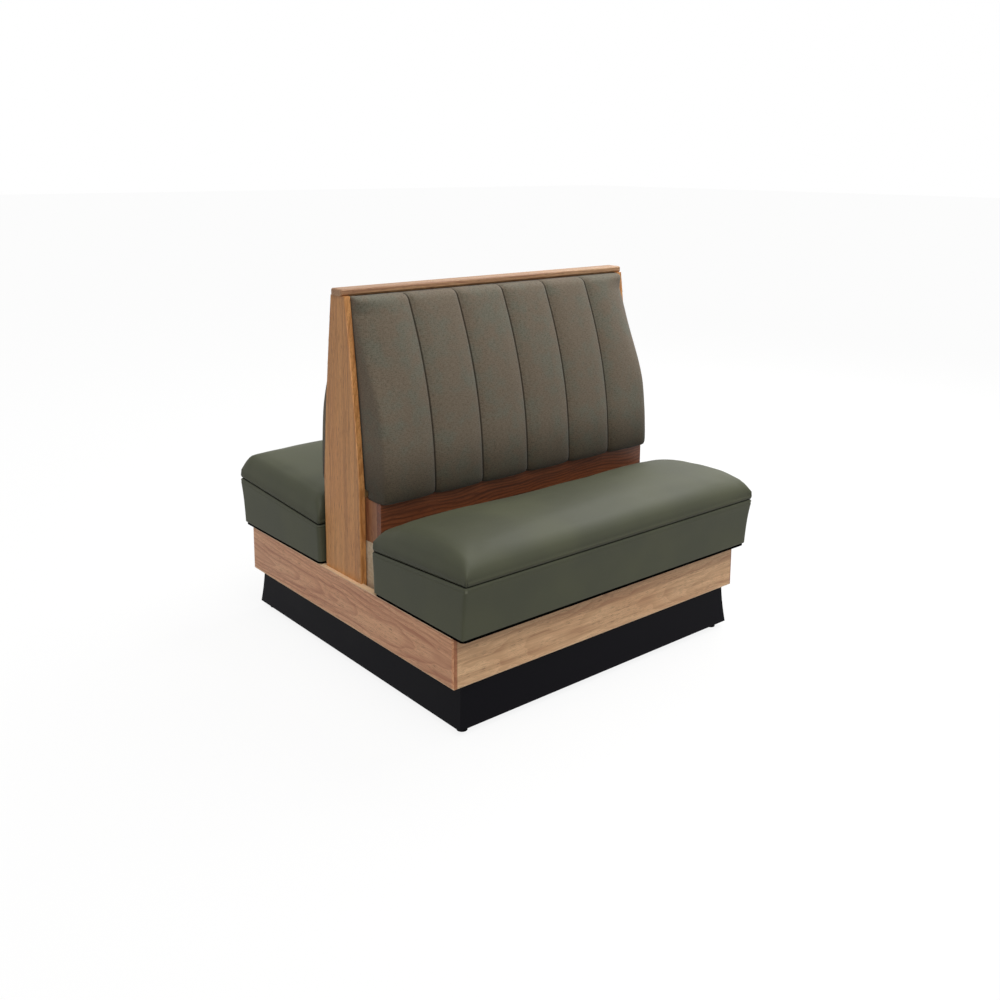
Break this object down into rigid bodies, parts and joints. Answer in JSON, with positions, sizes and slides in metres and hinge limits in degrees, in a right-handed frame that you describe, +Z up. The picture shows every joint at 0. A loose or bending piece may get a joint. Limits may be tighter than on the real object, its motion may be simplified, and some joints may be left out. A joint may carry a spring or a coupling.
{
  "type": "restaurant booth seating",
  "caption": "Back-to-back restaurant booth: upholstered lift-off seats either side of a channelled, tapered back, on an oak skirt and flared black kick with levelling glides.",
  "frame": {"origin": "on the floor, at the middle of the booth", "axes": "+X along the bench to the right seen from the front seat's side, +Y from the front seat to the rear seat, +Z up"},
  "size_m": [1.0832, 1.1508, 1.067],
  "materials": {
    "oak": "satin lacquer",
    "rail_oak": "satin lacquer",
    "framing_timber": "sawn",
    "plywood": "sanded",
    "black_kick": "satin laminate",
    "black_board": "painted matt",
    "vinyl": "soft satin vinyl",
    "tweed": "woven",
    "zinc_steel": "zinc plated"
  },
  "bodies": {
    "booth_frame": {"skirt_board_front": "oak", "skirt_board_rear": "oak", "skirt_board_left": "oak", "skirt_board_right": "oak", "end_panel_left": "oak", "end_panel_right": "oak", "top_cap": "oak", "back_rail_front": "rail_oak", "back_rail_rear": "rail_oak", "back_rail_blocks": "rail_oak", "base_side_rail_left": "framing_timber", "base_side_rail_right": "framing_timber", "base_bearer_front": "framing_timber", "base_bearer_rear": "framing_timber", "base_bearers_middle": "framing_timber", "base_centre_stretcher": "framing_timber", "back_rib_left": "framing_timber", "back_rib_middle": "framing_timber", "back_rib_right": "framing_timber", "back_top_rails": "framing_timber", "back_lower_rails": "framing_timber", "kick_corner_blocks": "framing_timber", "kick_cross_rails": "framing_timber", "pad_board_front": "plywood", "pad_board_rear": "plywood", "seat_back_board_front": "plywood", "seat_back_board_rear": "plywood", "seat_back_blocks": "plywood", "kick_board_front": "black_kick", "kick_board_rear": "black_kick", "kick_board_left": "black_kick", "kick_board_right": "black_kick", "back_pad_front": "tweed", "back_pad_rear": "tweed", "panel_screws": "zinc_steel", "cap_screws": "zinc_steel", "glide_inserts": "zinc_steel"},
    "front_seat": {"front_seat_base_board": "black_board", "front_seat_locating_blocks": "framing_timber", "front_seat_front_board": "plywood", "front_seat_rear_board": "plywood", "front_seat_rib": "plywood", "front_seat_end_boards": "plywood", "front_seat_deck": "plywood", "front_seat_apron": "vinyl", "front_seat_cushion": "vinyl"},
    "rear_seat": {"rear_seat_base_board": "black_board", "rear_seat_locating_blocks": "framing_timber", "rear_seat_front_board": "plywood", "rear_seat_rear_board": "plywood", "rear_seat_rib": "plywood", "rear_seat_end_boards": "plywood", "rear_seat_deck": "plywood", "rear_seat_apron": "vinyl", "rear_seat_cushion": "vinyl"},
    "glide_front_left": {"glide_front_left": "zinc_steel"},
    "glide_front_right": {"glide_front_right": "zinc_steel"},
    "glide_rear_left": {"glide_rear_left": "zinc_steel"},
    "glide_rear_right": {"glide_rear_right": "zinc_steel"}
  },
  "joints": [
    {"name": "front_seat_lift", "type": "slide", "parent": "booth_frame", "child": "front_seat", "axis": [0, -0.5, 0.866], "range_m": [0, 0.45]},
    {"name": "rear_seat_lift", "type": "slide", "parent": "booth_frame", "child": "rear_seat", "axis": [0, 0.5, 0.866], "range_m": [0, 0.45]},
    {"name": "glide_front_left_height", "type": "slide", "parent": "booth_frame", "child": "glide_front_left", "axis": [0, 0, -1], "range_m": [-0.008, 0.015]},
    {"name": "glide_front_right_height", "type": "slide", "parent": "booth_frame", "child": "glide_front_right", "axis": [0, 0, -1], "range_m": [-0.008, 0.015]},
    {"name": "glide_rear_left_height", "type": "slide", "parent": "booth_frame", "child": "glide_rear_left", "axis": [0, 0, -1], "range_m": [-0.008, 0.015]},
    {"name": "glide_rear_right_height", "type": "slide", "parent": "booth_frame", "child": "glide_rear_right", "axis": [0, 0, -1], "range_m": [-0.008, 0.015]}
  ]
}
